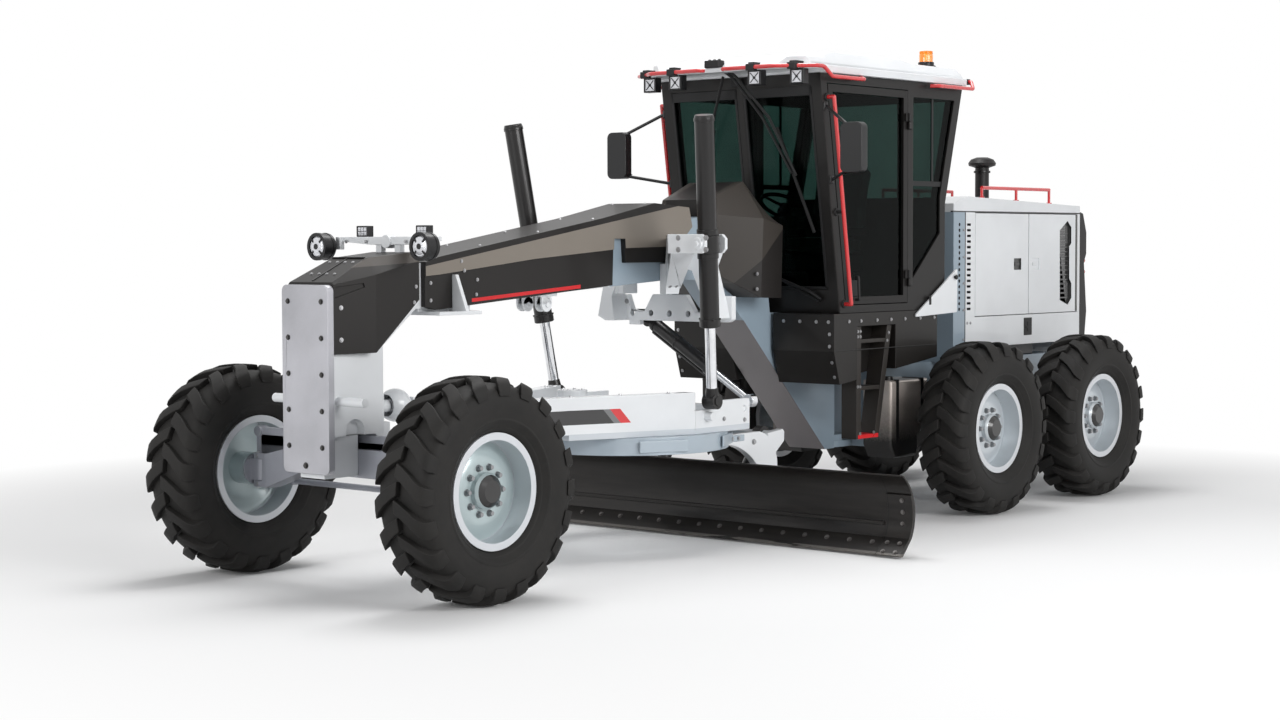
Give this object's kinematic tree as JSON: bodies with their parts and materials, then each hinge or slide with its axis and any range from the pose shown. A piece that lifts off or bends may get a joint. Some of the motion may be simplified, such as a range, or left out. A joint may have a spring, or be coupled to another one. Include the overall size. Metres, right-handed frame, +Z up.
{
  "type": "motor grader",
  "caption": "Articulated motor grader with a gooseneck frame, turning circle, mid-mounted blade, cab and hinged engine bonnet.",
  "frame": {"origin": "on the ground at the middle of the machine's length and width, blade set square", "axes": "+X forward, +Y to the machine's left, +Z up"},
  "size_m": [8.974, 3.96, 3.6253],
  "materials": {
    "tyre": "matt",
    "rim": "satin",
    "silver_paint": "satin",
    "white_paint": "gloss",
    "grey_paint": "satin",
    "taupe_paint": "satin",
    "black_paint": "satin",
    "red_paint": "gloss",
    "bronze_paint": "satin",
    "steel": "worn",
    "chrome": "polished",
    "glass": "clear",
    "lamp": "gloss",
    "trim": "matt"
  },
  "bodies": {
    "front_frame": {"front_frame": "silver_paint", "push_plate": "silver_paint", "beam_covers": "taupe_paint", "lamp_bar": "silver_paint", "lamps": "lamp", "front_axle": "grey_paint", "saddle": "white_paint", "cab_frame": "black_paint", "cab_roof": "white_paint", "cab_glass": "glass", "cab_interior": "trim", "skirt": "black_paint", "rear_panels": "white_paint", "ladders": "taupe_paint", "mirrors": "trim", "grab_rails": "red_paint"},
    "cab_door_left": {"cab_door_left": "black_paint"},
    "cab_door_right": {"cab_door_right": "black_paint"},
    "knuckle_left": {"knuckle_left": "grey_paint"},
    "knuckle_right": {"knuckle_right": "grey_paint"},
    "tie_rod": {"tie_rod": "grey_paint"},
    "drawbar_ball": {"drawbar_ball": "steel"},
    "drawbar": {"drawbar": "white_paint"},
    "circle": {"circle": "grey_paint"},
    "blade_carrier": {"blade_carrier": "white_paint"},
    "blade": {"moldboard": "steel", "cutting_edge": "steel", "side_shift_rod": "chrome"},
    "lift_barrel_left": {"lift_barrel_left": "black_paint"},
    "lift_rod_left": {"lift_rod_left": "chrome"},
    "lift_barrel_right": {"lift_barrel_right": "black_paint"},
    "lift_rod_right": {"lift_rod_right": "chrome"},
    "shift_barrel": {"shift_barrel": "black_paint"},
    "shift_rod": {"shift_rod": "chrome"},
    "tip_barrels": {"tip_barrels": "black_paint"},
    "tip_rods": {"tip_rods": "chrome"},
    "rear_frame": {"rear_frame": "black_paint", "side_tanks": "bronze_paint", "tandem_cases": "black_paint", "engine_block": "trim", "bonnet": "white_paint", "bonnet_rails": "red_paint", "rear_grille": "black_paint", "exhaust_stack": "trim"},
    "bonnet_door_left_front": {"bonnet_door_left_front": "white_paint"},
    "bonnet_door_left_rear": {"bonnet_door_left_rear": "white_paint"},
    "bonnet_door_right_front": {"bonnet_door_right_front": "white_paint"},
    "bonnet_door_right_rear": {"bonnet_door_right_rear": "white_paint"},
    "wheel_front_left": {"wheel_front_left": "rim", "tyre_front_left": "tyre"},
    "wheel_front_right": {"wheel_front_right": "rim", "tyre_front_right": "tyre"},
    "wheel_mid_left": {"wheel_mid_left": "rim", "tyre_mid_left": "tyre"},
    "wheel_mid_right": {"wheel_mid_right": "rim", "tyre_mid_right": "tyre"},
    "wheel_rear_left": {"wheel_rear_left": "rim", "tyre_rear_left": "tyre"},
    "wheel_rear_right": {"wheel_rear_right": "rim", "tyre_rear_right": "tyre"}
  },
  "joints": [
    {"name": "articulation", "type": "hinge", "parent": "front_frame", "child": "rear_frame", "pos_m": [-1.238, 0, 0.95], "axis": [0, 0, 1], "range_deg": [-20, 20]},
    {"name": "steer_left", "type": "hinge", "parent": "front_frame", "child": "knuckle_left", "pos_m": [3.812, 0.882, 0.675], "axis": [0, 0, 1], "range_deg": [-47, 47]},
    {"name": "steer_right", "type": "hinge", "parent": "front_frame", "child": "knuckle_right", "pos_m": [3.812, -0.882, 0.675], "axis": [0, 0, 1], "range_deg": [-47, 47]},
    {"name": "tie_rod_swing", "type": "hinge", "parent": "knuckle_left", "child": "tie_rod", "pos_m": [3.572, 0.85, 0.581], "axis": [0, 0, 1], "range_deg": [-47, 47]},
    {"name": "front_left_spin", "type": "hinge", "parent": "knuckle_left", "child": "wheel_front_left", "pos_m": [3.812, 1.057, 0.675], "axis": [0, 1, 0], "continuous": true},
    {"name": "front_right_spin", "type": "hinge", "parent": "knuckle_right", "child": "wheel_front_right", "pos_m": [3.812, -1.057, 0.675], "axis": [0, 1, 0], "continuous": true},
    {"name": "mid_left_spin", "type": "hinge", "parent": "rear_frame", "child": "wheel_mid_left", "pos_m": [-1.8355, 1.057, 0.675], "axis": [0, 1, 0], "continuous": true},
    {"name": "mid_right_spin", "type": "hinge", "parent": "rear_frame", "child": "wheel_mid_right", "pos_m": [-1.8355, -1.057, 0.675], "axis": [0, 1, 0], "continuous": true},
    {"name": "rear_left_spin", "type": "hinge", "parent": "rear_frame", "child": "wheel_rear_left", "pos_m": [-3.4825, 1.057, 0.675], "axis": [0, 1, 0], "continuous": true},
    {"name": "rear_right_spin", "type": "hinge", "parent": "rear_frame", "child": "wheel_rear_right", "pos_m": [-3.4825, -1.057, 0.675], "axis": [0, 1, 0], "continuous": true},
    {"name": "drawbar_shift", "type": "hinge", "parent": "front_frame", "child": "drawbar_ball", "pos_m": [3.47, 0, 1.11], "axis": [0, 0, 1], "range_deg": [-7, 7]},
    {"name": "drawbar_lift", "type": "hinge", "parent": "drawbar_ball", "child": "drawbar", "pos_m": [3.47, 0, 1.11], "axis": [0, 1, 0], "range_deg": [-8, 10]},
    {"name": "circle_turn", "type": "hinge", "parent": "drawbar", "child": "circle", "pos_m": [1.25, 0, 0.75], "axis": [0, 0, 1], "continuous": true},
    {"name": "blade_tip", "type": "hinge", "parent": "circle", "child": "blade_carrier", "pos_m": [0.4, 0, 0.17], "axis": [0, 1, 0], "range_deg": [-5, 40]},
    {"name": "blade_side_shift", "type": "slide", "parent": "blade_carrier", "child": "blade", "axis": [0, -1, 0], "range_m": [-0.6, 0.6]},
    {"name": "lift_left_swing", "type": "hinge", "parent": "front_frame", "child": "lift_barrel_left", "pos_m": [1.3241, 0.8148, 2.12], "axis": [1, 0, 0], "range_deg": [-16, 16]},
    {"name": "lift_left_slide", "type": "slide", "parent": "lift_barrel_left", "child": "lift_rod_left", "axis": [-0.1413, -0.0773, -0.9869], "range_m": [-0.42, 0.34]},
    {"name": "lift_right_swing", "type": "hinge", "parent": "front_frame", "child": "lift_barrel_right", "pos_m": [1.3241, -0.8148, 2.12], "axis": [1, 0, 0], "range_deg": [-16, 16]},
    {"name": "lift_right_slide", "type": "slide", "parent": "lift_barrel_right", "child": "lift_rod_right", "axis": [-0.1413, 0.0773, -0.9869], "range_m": [-0.42, 0.34]},
    {"name": "shift_swing", "type": "hinge", "parent": "front_frame", "child": "shift_barrel", "pos_m": [0.57, -0.33, 1.56], "axis": [1, 0, 0], "range_deg": [-20, 24]},
    {"name": "shift_slide", "type": "slide", "parent": "shift_barrel", "child": "shift_rod", "axis": [0, 0.8567, -0.5159], "range_m": [-0.3, 0.3]},
    {"name": "tip_swing", "type": "hinge", "parent": "circle", "child": "tip_barrels", "pos_m": [0.18, 0, 0.72], "axis": [0, 1, 0], "range_deg": [-14, 3]},
    {"name": "tip_slide", "type": "slide", "parent": "tip_barrels", "child": "tip_rods", "axis": [0.5772, 0, -0.8166], "range_m": [-0.03, 0.16]},
    {"name": "cab_door_left_hinge", "type": "hinge", "parent": "front_frame", "child": "cab_door_left", "pos_m": [-1.228, 0.764, 2.5], "axis": [0, 0, 1], "range_deg": [0, 85]},
    {"name": "cab_door_right_hinge", "type": "hinge", "parent": "front_frame", "child": "cab_door_right", "pos_m": [-1.228, -0.764, 2.5], "axis": [0, 0, -1], "range_deg": [0, 85]},
    {"name": "bonnet_door_left_front_hinge", "type": "hinge", "parent": "rear_frame", "child": "bonnet_door_left_front", "pos_m": [-2.565, 0.53, 1.8], "axis": [0, 0, -1], "range_deg": [0, 85]},
    {"name": "bonnet_door_left_rear_hinge", "type": "hinge", "parent": "rear_frame", "child": "bonnet_door_left_rear", "pos_m": [-4.265, 0.53, 1.8], "axis": [0, 0, 1], "range_deg": [0, 85]},
    {"name": "bonnet_door_right_front_hinge", "type": "hinge", "parent": "rear_frame", "child": "bonnet_door_right_front", "pos_m": [-2.565, -0.53, 1.8], "axis": [0, 0, 1], "range_deg": [0, 85]},
    {"name": "bonnet_door_right_rear_hinge", "type": "hinge", "parent": "rear_frame", "child": "bonnet_door_right_rear", "pos_m": [-4.265, -0.53, 1.8], "axis": [0, 0, -1], "range_deg": [0, 85]}
  ],
  "couplings": [
    {"joint": "steer_right", "follows": "steer_left", "ratio": 1},
    {"joint": "tie_rod_swing", "follows": "steer_left", "ratio": -1},
    {"joint": "lift_left_swing", "follows": "drawbar_shift", "ratio": -2.12},
    {"joint": "lift_right_swing", "follows": "drawbar_shift", "ratio": -2.12},
    {"joint": "lift_left_slide", "follows": "drawbar_lift", "m_per_rad": -2.33},
    {"joint": "lift_right_slide", "follows": "drawbar_lift", "m_per_rad": -2.33},
    {"joint": "shift_swing", "follows": "drawbar_lift", "ratio": 2.3},
    {"joint": "shift_slide", "follows": "drawbar_shift", "m_per_rad": -2.33},
    {"joint": "tip_swing", "follows": "blade_tip", "ratio": -0.3},
    {"joint": "tip_slide", "follows": "blade_tip", "m_per_rad": 0.22}
  ]
}
